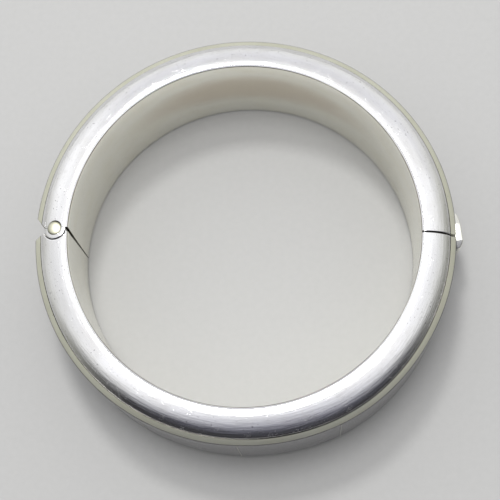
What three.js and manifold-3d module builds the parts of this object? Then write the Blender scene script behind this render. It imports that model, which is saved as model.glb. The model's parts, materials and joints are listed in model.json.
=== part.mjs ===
// Hinged hollow bangle bracelet, standing on one edge rim, wrist axis vertical.
// Millimetres, +Z up. The origin is the bottom centre of the whole bracelet's box.
// +X points to the clasp, -X to the hinge; the back half lies at +Y, the front half at -Y.
import * as THREE from 'three';
import { mergeVertices } from 'three/addons/utils/BufferGeometryUtils.js';
import Module from 'manifold-3d';

// ---------------------------------------------------------------- driving dimensions
const INNER_R = 30.0;          // wrist opening radius
const WIDTH = 20.0;            // height of the ring as it stands
const LINER_T = 0.40;          // inner wall sheet
const SHEET_T = 0.50;          // domed edge and outer wall sheet
const EDGE_OUT_R = 35.0;       // outside of the domed edges
const DOME_DROP = 2.10;        // from the crown down to the foot of a domed edge
const BAND_OUT_R = 36.04;      // face of the raised centre band
const BAND_CORNER = 0.32;      // rounding of the raised band's corners
const FIT = 0.02;              // gap kept between soldered sheets
const SEGMENTS = 72;           // facets per full circle, shared by all rings

const PIN_R = 1.05;            // hinge pin
const BORE_R = 1.12;           // bore of the knuckles
const PIN_X = -32.35;          // hinge pin axis, on the ring's X axis
const KNUCKLE_R = 1.93;        // barrel outside
const SOCKET_R = 2.10;         // hollow that the other half's barrel turns in
const KNUCKLE_SPLIT_LO = 5.90; // the middle barrel lies between these two heights
const KNUCKLE_SPLIT_HI = 14.10;
const KNUCKLE_GAP = 0.10;

const CLASP_Y = 0.33;          // the clasp seam lies a little behind the ring's X axis
const PLATE_T = 0.60;          // end plates at the clasp
const TONGUE_Z0 = 7.90;        // tongue leaves, height range
const TONGUE_Z1 = 12.10;
const LEAF_T = 0.35;
const FOLD_X = 31.95;          // fold of the tongue, where the spring leaf flexes
const FOLD_Y = 8.40;
const FOLD_R = 0.42;
const CATCH_X = 33.05;         // lip that the spring leaf snaps behind
const NECK_Z0 = 9.0;           // stem between spring leaf and thumb-piece
const NECK_Z1 = 11.0;
const THUMB_Z0 = 7.60;
const THUMB_Z1 = 12.40;

// the ring's own centre is set back so that the whole box is centred on the origin
const RING_X = -0.866;

// ---------------------------------------------------------------- solids toolbox
const wasm = await Module();
wasm.setup();

function solid(geometry) {
  const g0 = geometry.index ? geometry.toNonIndexed() : geometry.clone();
  g0.deleteAttribute('normal');
  g0.deleteAttribute('uv');
  const g = mergeVertices(g0, 1e-5);
  const pos = g.attributes.position.array;
  const keep = [];
  const ix = g.index.array;
  let volume = 0;
  const a = new THREE.Vector3(), b = new THREE.Vector3(), c = new THREE.Vector3();
  for (let i = 0; i < ix.length; i += 3) {
    if (ix[i] === ix[i + 1] || ix[i + 1] === ix[i + 2] || ix[i] === ix[i + 2]) continue;
    keep.push(ix[i], ix[i + 1], ix[i + 2]);
    a.fromArray(pos, ix[i] * 3); b.fromArray(pos, ix[i + 1] * 3); c.fromArray(pos, ix[i + 2] * 3);
    volume += a.dot(b.cross(c));
  }
  if (volume < 0) for (let i = 0; i < keep.length; i += 3) [keep[i + 1], keep[i + 2]] = [keep[i + 2], keep[i + 1]];
  return new wasm.Manifold(new wasm.Mesh({
    numProp: 3, vertProperties: new Float32Array(pos), triVerts: new Uint32Array(keep),
  }));
}

function geometryOf(manifold) {
  const m = manifold.getMesh();
  const g = new THREE.BufferGeometry();
  const p = new Float32Array(m.numVert * 3);
  for (let i = 0; i < m.numVert; i++) for (let k = 0; k < 3; k++) p[3 * i + k] = m.vertProperties[m.numProp * i + k];
  g.setAttribute('position', new THREE.BufferAttribute(p, 3));
  g.setIndex(new THREE.BufferAttribute(new Uint32Array(m.triVerts), 1));
  g.computeVertexNormals();
  return g;
}

// full ring from an (r, z) outline that closes on itself
function ring(outline) {
  const pts = outline.map(([r, z]) => new THREE.Vector2(r, z));
  pts.push(pts[0].clone());
  const g = new THREE.LatheGeometry(pts, SEGMENTS);
  g.rotateX(Math.PI / 2);
  return solid(g);
}

// upright prism over an (x, y) outline
function prism(outline, z0, z1) {
  const s = new THREE.Shape(outline.map(([x, y]) => new THREE.Vector2(x, y)));
  const g = new THREE.ExtrudeGeometry(s, { depth: z1 - z0, bevelEnabled: false });
  g.translate(0, 0, z0);
  return solid(g);
}

// prism over a (y, z) outline, running along X
function prismX(outline, x0, x1) {
  const s = new THREE.Shape(outline.map(([y, z]) => new THREE.Vector2(y, z)));
  const g = new THREE.ExtrudeGeometry(s, { depth: x1 - x0, bevelEnabled: false });
  g.rotateX(Math.PI / 2);
  g.rotateZ(Math.PI / 2);
  g.translate(x0, 0, 0);
  return solid(g);
}

// prism over an (x, z) outline, running along Y
function prismY(outline, y0, y1) {
  const s = new THREE.Shape(outline.map(([x, z]) => new THREE.Vector2(x, z)));
  const g = new THREE.ExtrudeGeometry(s, { depth: y1 - y0, bevelEnabled: false });
  g.rotateX(Math.PI / 2);
  g.translate(0, y1, 0);
  return solid(g);
}

function box(x0, x1, y0, y1, z0, z1) {
  const g = new THREE.BoxGeometry(x1 - x0, y1 - y0, z1 - z0);
  g.translate((x0 + x1) / 2, (y0 + y1) / 2, (z0 + z1) / 2);
  return solid(g);
}

function drum(x, y, r, z0, z1, n = 36) {
  const g = new THREE.CylinderGeometry(r, r, z1 - z0, n);
  g.rotateX(Math.PI / 2);
  g.translate(x, y, (z0 + z1) / 2);
  return solid(g);
}

const deg = Math.PI / 180;
const aboutPin = (radius, angle) => [PIN_X + radius * Math.cos(angle * deg), radius * Math.sin(angle * deg)];

// ---------------------------------------------------------------- ring outlines (r, z)
const LINER_OUT_R = INNER_R + LINER_T;
const FOOT_Z = WIDTH - DOME_DROP;              // foot of the top domed edge
const mirror = (outline) => outline.map(([r, z]) => [r, WIDTH - z]);

// the domed edge is a circular arc, level at the inner wall, falling to its foot at the outer wall
const DOME_R = ((EDGE_OUT_R - LINER_OUT_R) ** 2 + DOME_DROP ** 2) / (2 * DOME_DROP);
function domeArc(shrink, count, first = 0) {
  const r = DOME_R - shrink;
  const last = Math.acos((FOOT_Z - (WIDTH - DOME_R)) / r);
  const out = [];
  for (let i = 0; i <= count; i++) {
    const t = first + (last - first) * i / count;
    out.push([LINER_OUT_R + r * Math.sin(t), WIDTH - DOME_R + r * Math.cos(t)]);
  }
  return out;
}

const linerOutline = [
  [INNER_R, 0.12], [INNER_R + 0.10, 0], [LINER_OUT_R, 0],
  [LINER_OUT_R, WIDTH], [INNER_R + 0.10, WIDTH], [INNER_R, WIDTH - 0.12],
];
const edgeOutline = (() => {
  const outer = domeArc(0, 9), inner = domeArc(SHEET_T, 5);
  outer[0][0] = LINER_OUT_R + FIT;
  inner[0][0] = LINER_OUT_R + FIT;
  return [...outer, ...inner.reverse()];
})();
const WALL_IN_R = EDGE_OUT_R - SHEET_T;
const WALL_Z1 = FOOT_Z - FIT, WALL_Z0 = WIDTH - WALL_Z1;
const wallOutline = [[WALL_IN_R, WALL_Z0], [EDGE_OUT_R, WALL_Z0], [EDGE_OUT_R, WALL_Z1], [WALL_IN_R, WALL_Z1]];
const bandOutline = (() => {
  const top = FOOT_Z - 0.04, side = BAND_OUT_R, c = BAND_CORNER;
  const half = [[EDGE_OUT_R + FIT, top], [side - c + 0.02, top - 0.38], [side - 0.09, top - 0.50], [side, top - 0.68]];
  return [...half, ...mirror(half).reverse()];
})();
// hollow inside the sheets, used for everything that closes the hollow
const hollowOutline = (() => {
  const arc = domeArc(SHEET_T + FIT + 0.02, 6);
  arc[0][0] = LINER_OUT_R + FIT;
  arc[6][1] = FOOT_Z - FIT;
  const top = [...arc, [WALL_IN_R - FIT, FOOT_Z - FIT]];
  return [...top, ...mirror(top).reverse()];
})();

// ---------------------------------------------------------------- plan outlines (x, y)
// clasp seam: the back face is square, the front face opens outward as a slim wedge
const BACK_FACE_Y = 0.03 + CLASP_Y;
const frontFaceY = (x) => CLASP_Y - 0.05 - 0.020 * (x - 28);
// hinge seam: flat from the wrist side to the pin, then a notch outside the barrel
const backNotch = [aboutPin(6.5, 148), aboutPin(4.0, 150), aboutPin(2.4, 161), aboutPin(1.5, 161)];
const frontNotch = [aboutPin(1.5, 197.5), aboutPin(2.5, 197.5), aboutPin(4.1, 205), aboutPin(6.5, 207)];
const backPlan = [[28, BACK_FACE_Y], [40, BACK_FACE_Y], [40, 40], [-40, 40], [-40, backNotch[0][1]], ...backNotch, [PIN_X + 1, 0.05], [-28, 0.05]];
const frontPlan = [[-28, -0.06], [PIN_X + 1, -0.06], ...frontNotch, [-40, frontNotch[3][1]], [-40, -40], [40, -40], [40, frontFaceY(40)], [28, frontFaceY(28)]];
const backRegion = prism(backPlan, -1, WIDTH + 1);
const frontRegion = prism(frontPlan, -1, WIDTH + 1);
const barrel = drum(PIN_X, 0, KNUCKLE_R, -1, WIDTH + 1);
const socket = drum(PIN_X, 0, SOCKET_R, -1, WIDTH + 1);
const bore = drum(PIN_X, 0, BORE_R, -1, WIDTH + 1, 24);

const liner = ring(linerOutline);
const edgeTop = ring(edgeOutline);
const edgeBottom = ring(mirror(edgeOutline));
const wall = ring(wallOutline);
const band = ring(bandOutline);
const hollow = ring(hollowOutline);

// way for the thumb-piece's stem, open at the clasp seam
const stemWay = box(CATCH_X - 0.1, 38, -2, 3.45 + CLASP_Y, NECK_Z0 - 0.2, NECK_Z1 + 0.2);
// way for the tongue through the end plate
const tongueWay = box(31.0, CATCH_X, -2, 2 + CLASP_Y, TONGUE_Z0 - 0.25, TONGUE_Z1 + 0.25);

// ---------------------------------------------------------------- back half
const endEdges = backRegion.add(barrel);
const backLiner = liner.intersect(backRegion);
const backEdgeTop = edgeTop.intersect(endEdges).subtract(bore);
const backEdgeBottom = edgeBottom.intersect(endEdges).subtract(bore);
const backWall = wall.intersect(backRegion).subtract(stemWay);
const backBand = band.intersect(backRegion).subtract(stemWay);
const backClaspPlate = hollow.intersect(box(28, 38, BACK_FACE_Y, BACK_FACE_Y + PLATE_T, 0, WIDTH)).subtract(tongueWay).subtract(stemWay);

const lo = KNUCKLE_SPLIT_LO - KNUCKLE_GAP, hi = KNUCKLE_SPLIT_HI + KNUCKLE_GAP;
const seat = (rEnds, rMiddle) => drum(PIN_X, 0, 2.5, 0, WIDTH)
  .subtract(drum(PIN_X, 0, rEnds, -1, lo + 0.02))
  .subtract(drum(PIN_X, 0, rMiddle, lo - 0.02, hi + 0.02))
  .subtract(drum(PIN_X, 0, rEnds, hi - 0.02, WIDTH + 1));
const backHingePlate = hollow.intersect(seat(KNUCKLE_R + FIT, SOCKET_R)).intersect(backRegion);
const knuckleTop = hollow.intersect(drum(PIN_X, 0, KNUCKLE_R, hi, WIDTH)).subtract(bore);
const knuckleBottom = hollow.intersect(drum(PIN_X, 0, KNUCKLE_R, 0, lo)).subtract(bore);

// three-sided box behind the end plate; its outer side is the bracelet's own outer wall
const CATCH_Y0 = BACK_FACE_Y + PLATE_T + FIT, CATCH_Y1 = 9.8;
const catchBox = prism([[30.75, CATCH_Y0], [33.0, CATCH_Y0], [33.0, CATCH_Y1], [30.75, CATCH_Y1]], TONGUE_Z0 - 0.9, TONGUE_Z1 + 0.9)
  .subtract(box(31.05, 34, CATCH_Y0 - 1, CATCH_Y1 - 0.35, TONGUE_Z0 - 0.45, TONGUE_Z1 + 0.45));

const pinOutline = [[0, 0.36], [0.55, 0.38], [0.92, 0.45], [PIN_R, 0.60], [PIN_R, WIDTH - 0.60], [0.92, WIDTH - 0.45], [0.55, WIDTH - 0.38], [0, WIDTH - 0.36]];
const pinGeometry = new THREE.LatheGeometry(pinOutline.map(([r, z]) => new THREE.Vector2(r, z)), 24);
pinGeometry.rotateX(Math.PI / 2);
pinGeometry.translate(PIN_X, 0, 0);
const hingePin = solid(pinGeometry);

// ---------------------------------------------------------------- front half
const frontLiner = liner.intersect(frontRegion);
const frontEdgeTop = edgeTop.intersect(frontRegion).subtract(socket);
const frontEdgeBottom = edgeBottom.intersect(frontRegion).subtract(socket);
const frontWall = wall.intersect(frontRegion);
const frontBand = band.intersect(frontRegion);
const frontClaspPlate = hollow
  .intersect(prism([[28, frontFaceY(28)], [28, frontFaceY(28) - PLATE_T], [38, frontFaceY(38) - PLATE_T], [38, frontFaceY(38)]], 0, WIDTH))
  .subtract(box(31.4 - FIT, 31.4 + LEAF_T + FIT, -3, 1, TONGUE_Z0 - FIT, TONGUE_Z1 + FIT));
const frontHingePlate = hollow.intersect(seat(SOCKET_R, KNUCKLE_R + FIT)).intersect(frontRegion);
const knuckleMiddle = drum(PIN_X, 0, KNUCKLE_R, KNUCKLE_SPLIT_LO, KNUCKLE_SPLIT_HI).subtract(bore);
const baseLeaf = box(31.4, 31.4 + LEAF_T, -2.4, FOLD_Y - FOLD_R - 0.13, TONGUE_Z0, TONGUE_Z1);

// ---------------------------------------------------------------- latch spring
// the spring leaf runs from the fold back towards the seam, leaning outward
const leafLean = Math.atan2(33.05 - FOLD_X, FOLD_Y - CLASP_Y - 0.75);
const leafIn = (y) => FOLD_X + (FOLD_Y - y) * Math.tan(leafLean);
const leafOut = (y) => leafIn(y) + LEAF_T / Math.cos(leafLean);
const LEAF_END_Y = 0.78 + CLASP_Y;
const springLeaf = prism([[leafIn(LEAF_END_Y), LEAF_END_Y], [leafOut(LEAF_END_Y), LEAF_END_Y], [leafOut(FOLD_Y), FOLD_Y], [leafIn(FOLD_Y), FOLD_Y]], TONGUE_Z0, TONGUE_Z1)
  .add(drum(FOLD_X, FOLD_Y, FOLD_R, TONGUE_Z0, TONGUE_Z1, 24));

const THUMB_IN = [[36.62, 0.30], [36.34, 3.00], [35.92, 6.00]];
const thumbInX = (y) => {
  const [a, b, c] = THUMB_IN;
  const [p, q] = y < b[1] ? [a, b] : [b, c];
  return p[0] + (q[0] - p[0]) * (y - p[1]) / (q[1] - p[1]);
};
const NECK_Y0 = 1.0 + CLASP_Y, NECK_Y1 = 3.0 + CLASP_Y;
const neck = prism([[leafOut(NECK_Y0) + FIT, NECK_Y0], [thumbInX(NECK_Y0) - FIT, NECK_Y0], [thumbInX(NECK_Y1) - FIT, NECK_Y1], [leafOut(NECK_Y1) + FIT, NECK_Y1]], NECK_Z0, NECK_Z1);
const thumbPiece = prism([...THUMB_IN, [36.42, 6.25], [37.02, 5.85], [37.48, 3.90], [37.70, 1.30], [37.66, 0.55], [37.28, -0.22], [36.78, -0.22]].reverse(), THUMB_Z0, THUMB_Z1)
  .intersect(prismY([[35.5, THUMB_Z0], [37.45, THUMB_Z0], [37.8, THUMB_Z0 + 0.4], [37.8, THUMB_Z1 - 0.4], [37.45, THUMB_Z1], [35.5, THUMB_Z1]], -1, 7))
  .intersect(prismX([[-0.5, THUMB_Z0 + 0.6], [0.75, THUMB_Z0], [4.0, THUMB_Z0], [6.5, THUMB_Z0 + 1.3], [6.5, THUMB_Z1 - 1.3], [4.0, THUMB_Z1], [0.75, THUMB_Z1], [-0.5, THUMB_Z1 - 0.6]], 35, 38.5));

// ---------------------------------------------------------------- scene graph
const silver = (color, roughness) => new THREE.MeshStandardMaterial({ color, roughness, metalness: 1.0 });
const polished = silver(0xdedfe2, 0.18);
const satin = silver(0xb9b8ae, 0.38);
const brushed = silver(0xc9cac6, 0.26);
const pinSilver = silver(0xdcdcc8, 0.30);
const inside = silver(0xb4b2aa, 0.45);
const spring = silver(0xc4c1b6, 0.30);

const bangle = new THREE.Group();
const backHalf = new THREE.Group();
const frontHalf = new THREE.Group();
const latchSpring = new THREE.Group();
frontHalf.add(latchSpring);
bangle.add(backHalf, frontHalf);
bangle.position.set(RING_X, 0, 0);

function place(group, name, manifold, material) {
  const mesh = new THREE.Mesh(geometryOf(manifold), material.clone());
  mesh.name = name;
  group.add(mesh);
}

place(backHalf, 'back_liner', backLiner, satin);
place(backHalf, 'back_edge_shell_top', backEdgeTop, polished);
place(backHalf, 'back_edge_shell_bottom', backEdgeBottom, polished);
place(backHalf, 'back_outer_wall', backWall, inside);
place(backHalf, 'back_band', backBand, brushed);
place(backHalf, 'back_clasp_end_plate', backClaspPlate, brushed);
place(backHalf, 'back_hinge_end_plate', backHingePlate, brushed);
place(backHalf, 'catch_box', catchBox, inside);
place(backHalf, 'hinge_knuckle_top', knuckleTop, polished);
place(backHalf, 'hinge_knuckle_bottom', knuckleBottom, polished);
place(backHalf, 'hinge_pin', hingePin, pinSilver);

place(frontHalf, 'front_liner', frontLiner, satin);
place(frontHalf, 'front_edge_shell_top', frontEdgeTop, polished);
place(frontHalf, 'front_edge_shell_bottom', frontEdgeBottom, polished);
place(frontHalf, 'front_outer_wall', frontWall, inside);
place(frontHalf, 'front_band', frontBand, brushed);
place(frontHalf, 'front_clasp_end_plate', frontClaspPlate, brushed);
place(frontHalf, 'front_hinge_end_plate', frontHingePlate, brushed);
place(frontHalf, 'hinge_knuckle_middle', knuckleMiddle, polished);
place(frontHalf, 'tongue_base_leaf', baseLeaf, spring);

place(latchSpring, 'tongue_spring_leaf', springLeaf, spring);
place(latchSpring, 'thumb_piece_neck', neck, spring);
place(latchSpring, 'thumb_piece', thumbPiece, polished);

export default bangle;
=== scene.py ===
# Hinged silver bangle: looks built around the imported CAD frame.
import math
import json

import bpy
import bmesh
import numpy as np
from mathutils import Vector, Matrix


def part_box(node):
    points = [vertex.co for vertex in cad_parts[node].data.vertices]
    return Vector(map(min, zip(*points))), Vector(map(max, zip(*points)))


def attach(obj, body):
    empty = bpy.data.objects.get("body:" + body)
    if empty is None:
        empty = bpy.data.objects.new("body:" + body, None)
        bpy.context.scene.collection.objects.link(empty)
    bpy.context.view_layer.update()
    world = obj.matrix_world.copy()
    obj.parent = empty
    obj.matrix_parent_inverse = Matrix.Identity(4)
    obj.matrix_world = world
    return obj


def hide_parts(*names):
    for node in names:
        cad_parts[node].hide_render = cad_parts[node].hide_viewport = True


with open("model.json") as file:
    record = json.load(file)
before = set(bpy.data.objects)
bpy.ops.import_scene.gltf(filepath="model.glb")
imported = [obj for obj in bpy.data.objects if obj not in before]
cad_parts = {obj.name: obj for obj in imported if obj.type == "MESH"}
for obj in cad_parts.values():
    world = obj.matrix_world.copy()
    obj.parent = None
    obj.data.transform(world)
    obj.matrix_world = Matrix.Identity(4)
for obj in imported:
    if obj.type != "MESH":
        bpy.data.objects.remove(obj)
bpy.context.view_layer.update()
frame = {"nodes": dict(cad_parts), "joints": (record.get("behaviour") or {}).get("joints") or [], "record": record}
record = frame["record"]
nodes = frame["nodes"]
MM = 0.001

# ------------------------------------------------------------------ sizes, all in mm; some from the frame, the rest given
_rim = next(m for m in record["mounts"] if m["name"] == "standing_rim")
CX = _rim["pos_m"][0] * 1000                      # ring centre
_lo, _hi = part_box("hinge_pin")
PIN = np.array([(_lo.x + _hi.x) * 500 - CX, 0.0])  # pin axis, from the ring centre
PIN_R = (_hi.x - _lo.x) * 500
_lo, _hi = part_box("back_liner")
WIDTH = _hi.z * 1000
R_IN = 30.0
R_LIN = 30.4
R_EDGE = 35.0
_lo, _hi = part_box("front_band")
R_BAND = -_lo.y * 1000
BAND_Z0, BAND_Z1 = _lo.z * 1000, _hi.z * 1000
SHEET = 0.5
DROP = 2.10
FOOT = WIDTH - DROP
CLASP = 0.33                                      # the clasp seam lies this far behind the ring's X axis
KN_R = 1.93
SOCKET = 2.10
BORE = 1.29


# ------------------------------------------------------------------ mesh helpers
def link(name, verts, faces, smooth=None):
    me = bpy.data.meshes.new(name)
    v = np.asarray(verts, float).copy()
    v[:, 0] += CX
    me.from_pydata((v * MM).tolist(), [], [list(map(int, f)) for f in faces])
    me.validate()
    me.update()
    ob = bpy.data.objects.new(name, me)
    bpy.context.scene.collection.objects.link(ob)
    bm = bmesh.new()
    bm.from_mesh(me)
    bmesh.ops.remove_doubles(bm, verts=bm.verts, dist=2e-8)
    bmesh.ops.recalc_face_normals(bm, faces=bm.faces)
    if bm.calc_volume(signed=True) < 0:
        bmesh.ops.reverse_faces(bm, faces=bm.faces)
    bm.to_mesh(me)
    bm.free()
    if smooth is not None:
        for p in me.polygons:
            p.use_smooth = True
        me.set_sharp_from_angle(angle=math.radians(smooth))
    return ob


def apply_modifiers(ob):
    bpy.context.view_layer.update()
    dg = bpy.context.evaluated_depsgraph_get()
    me = bpy.data.meshes.new_from_object(ob.evaluated_get(dg))
    ob.modifiers.clear()
    ob.data = me


def cut(ob, verts, faces, smooth=None, tolerant=False):
    """Subtracts a closed body from ob."""
    c = link("cutter", verts, faces)
    m = ob.modifiers.new("cut", "BOOLEAN")
    m.operation = "DIFFERENCE"
    m.solver = "EXACT"
    m.object = c
    m.use_hole_tolerant = tolerant
    apply_modifiers(ob)
    bpy.data.objects.remove(c)
    if smooth is not None:
        for p in ob.data.polygons:
            p.use_smooth = True
        ob.data.set_sharp_from_angle(angle=math.radians(smooth))


def box_mesh(x0, x1, y0, y1, z0, z1):
    v = [(x, y, z) for x in (x0, x1) for y in (y0, y1) for z in (z0, z1)]
    f = [(0, 1, 3, 2), (4, 6, 7, 5), (0, 4, 5, 1), (2, 3, 7, 6), (0, 2, 6, 4), (1, 5, 7, 3)]
    return v, f


def drum_mesh(cx, cy, r, z0, z1, n=64):
    v = []
    for z in (z0, z1):
        for k in range(n):
            a = 2 * math.pi * k / n
            v.append((cx + r * math.cos(a), cy + r * math.sin(a), z))
    f = [tuple(range(n))[::-1], tuple(range(n, 2 * n))]
    f += [(k, (k + 1) % n, n + (k + 1) % n, n + k) for k in range(n)]
    return v, f


def lathe(name, prof, cx, cy, n=72, smooth=35):
    """Round body about an upright axis; prof runs from the axis to the axis."""
    v, f = [], []
    ring = []
    for r, z in prof:
        if r < 1e-9:
            v.append((cx, cy, z))
            ring.append([len(v) - 1])
        else:
            ring.append(list(range(len(v), len(v) + n)))
            for k in range(n):
                a = 2 * math.pi * k / n
                v.append((cx + r * math.cos(a), cy + r * math.sin(a), z))
    for a, b in zip(ring[:-1], ring[1:]):
        for k in range(n):
            k2 = (k + 1) % n
            if len(a) == 1:
                f.append((a[0], b[k2], b[k]))
            elif len(b) == 1:
                f.append((a[k], a[k2], b[0]))
            else:
                f.append((a[k], a[k2], b[k2], b[k]))
    return link(name, v, f, smooth)


def tube(name, r_in, r_out, z0, z1, cx, cy, n=72, bev=0.06):
    prof = [(r_in, z0 + bev), (r_in + bev, z0), (r_out - bev, z0), (r_out - bev * 0.3, z0 + bev * 0.3), (r_out, z0 + bev),
            (r_out, z1 - bev), (r_out - bev * 0.3, z1 - bev * 0.3), (r_out - bev, z1), (r_in + bev, z1), (r_in, z1 - bev)]
    v, f = [], []
    m = len(prof)
    for r, z in prof:
        for k in range(n):
            a = 2 * math.pi * k / n
            v.append((cx + r * math.cos(a), cy + r * math.sin(a), z))
    for j in range(m):
        for k in range(n):
            j2, k2 = (j + 1) % m, (k + 1) % n
            f.append((j * n + k, j * n + k2, j2 * n + k2, j2 * n + k))
    return link(name, v, f, 35)


# ------------------------------------------------------------------ plan of the two halves (ring centre at 0, 0)
def _ray(deg, r=1.0):
    return np.array([math.cos(math.radians(deg)), math.sin(math.radians(deg))]) * r


def _side(a, b, x, y):
    """distance of (x, y) from the line a->b, positive on its left"""
    d = (b - a) / np.linalg.norm(b - a)
    return d[0] * (y - a[1]) - d[1] * (x - a[0])


NB0, NB1, NB2 = PIN, PIN + _ray(161, 2.4), PIN + _ray(150, 4.0)
NF0, NF1, NF2 = PIN, PIN + _ray(197.5, 2.5), PIN + _ray(205, 4.1)
HINGE_SEAM = 0.05


def d_back(x, y, barrel=True):
    """inside distance for the back half's plan"""
    poly = np.minimum(np.minimum(_side(NB1, NB0, x, y), _side(NB2, NB1, x, y)), y - HINGE_SEAM)
    poly = np.where(x > 0, (y + 0.015 - CLASP - 0.036 * (x - 30)), poly)
    if not barrel:
        return poly
    disc = KN_R - np.hypot(x - PIN[0], y - PIN[1])
    return np.where(x > 0, poly, np.maximum(poly, disc))


def d_front(x, y, socket=True):
    poly = np.minimum(np.minimum(_side(NF0, NF1, x, y), _side(NF1, NF2, x, y)), -y - 0.06)
    clasp = (CLASP - 0.045 - 0.025 * (x - 30) - y) / math.hypot(1, 0.025)
    poly = np.where(x > 0, clasp, poly)
    if not socket:
        return poly
    disc = np.hypot(x - PIN[0], y - PIN[1]) - SOCKET
    return np.where(x > 0, poly, np.minimum(poly, disc))


def end_angle(dist, r, inside, outside, **kw):
    """angle, in radians, where the arc of radius r leaves the plan"""
    a, b = math.radians(inside), math.radians(outside)
    for _ in range(46):
        m = (a + b) / 2
        if dist(np.array(r * math.cos(m)), np.array(r * math.sin(m)), **kw) > 0:
            a = m
        else:
            b = m
    return a


class Half:
    """one half of the ring: angles run from the clasp end to the hinge end"""

    def __init__(self, which):
        self.which = which
        self.dist = d_back if which == "back" else d_front
        self.kw = {"barrel": True} if which == "back" else {"socket": True}
        self.kw0 = {"barrel": False} if which == "back" else {"socket": False}
        s = 1 if which == "back" else -1
        self.clasp_in, self.clasp_out = s * 4.0, -s * 3.0
        self.hinge_in, self.hinge_out = s * 171.0, s * 189.0
        self.mid_a, self.mid_b = math.radians(s * 3.0), math.radians(s * 170.0)

    def ends(self, r, barrel):
        kw = self.kw if barrel else self.kw0
        return (end_angle(self.dist, r, self.clasp_in, self.clasp_out, **kw),
                end_angle(self.dist, r, self.hinge_in, self.hinge_out, **kw))

    def angles(self, radii, barrel, extra=(), step=0.75):
        """grid of angles, one row per station along the ring, one column per radius"""
        radii = np.asarray(radii, float)
        key = {}
        A0, A1 = [], []
        for r in radii:
            k = round(float(r), 5)
            if k not in key:
                key[k] = self.ends(k, barrel)
            A0.append(key[k][0])
            A1.append(key[k][1])
        A0, A1 = np.array(A0), np.array(A1)
        t = np.array([0, .004, .012, .026, .046, .075, .115, .17, .24, .33, .43, .55, .68, .84])
        n = max(2, int(abs(self.mid_b - self.mid_a) / math.radians(step)))
        mid = list(np.linspace(self.mid_a, self.mid_b, n + 1))
        mid += [a for a in extra if min(self.mid_a, self.mid_b) < a < max(self.mid_a, self.mid_b)]
        mid = sorted(set(round(a, 7) for a in mid), reverse=self.which == "front")
        rows = [A0 + (self.mid_a - A0) * k for k in t]
        rows += [np.full(len(radii), a) for a in mid]
        rows += [A1 + (self.mid_b - A1) * k for k in t[::-1]]
        return np.array(rows)


BACK, FRONT = Half("back"), Half("front")


def round_off(d, b):
    """how far a surface sinks at distance d from an edge rounded with radius b"""
    q = np.clip(b - d, 0, b)
    return b - np.sqrt(np.maximum(b * b - q * q, 0))


def wobble(a, seed, parts=6, low=2, high=23):
    rng = np.random.RandomState(seed)
    out = np.zeros_like(a)
    for _ in range(parts):
        k = rng.randint(low, high)
        out += np.sin(a * k + rng.uniform(0, 6.28)) * rng.uniform(.4, 1) / parts
    return out


# ------------------------------------------------------------------ domed edges
RHO = 6.55                                                # radius of the dome's section, outside
RHO_IN = ((R_EDGE - R_LIN) ** 2 + DROP ** 2) / (2 * DROP) - SHEET
R_LIP = R_EDGE - 0.07                                     # outer lip of the dome, a fine open seam inside the band
SEAM_Z = FOOT - 0.36                                      # depth that the seam reaches


def dome_top(r):
    q = np.clip(r - R_LIN, 0, R_EDGE - R_LIN)
    return WIDTH - RHO + np.sqrt(RHO * RHO - q * q)


def dome_under(r):
    q = np.clip(r - R_LIN, 0, R_EDGE - R_LIN)
    return np.maximum(WIDTH - SHEET - RHO_IN + np.sqrt(np.maximum(RHO_IN ** 2 - q * q, 0)), SEAM_Z + 0.02)


def bulge(A, R):
    """the front half was raised a touch fuller on its clasp side"""
    return 0.36 * np.exp(-((np.degrees(A) + 55) / 20) ** 2) * np.clip((R - R_LIN) / 4.6, 0, 1)


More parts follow.
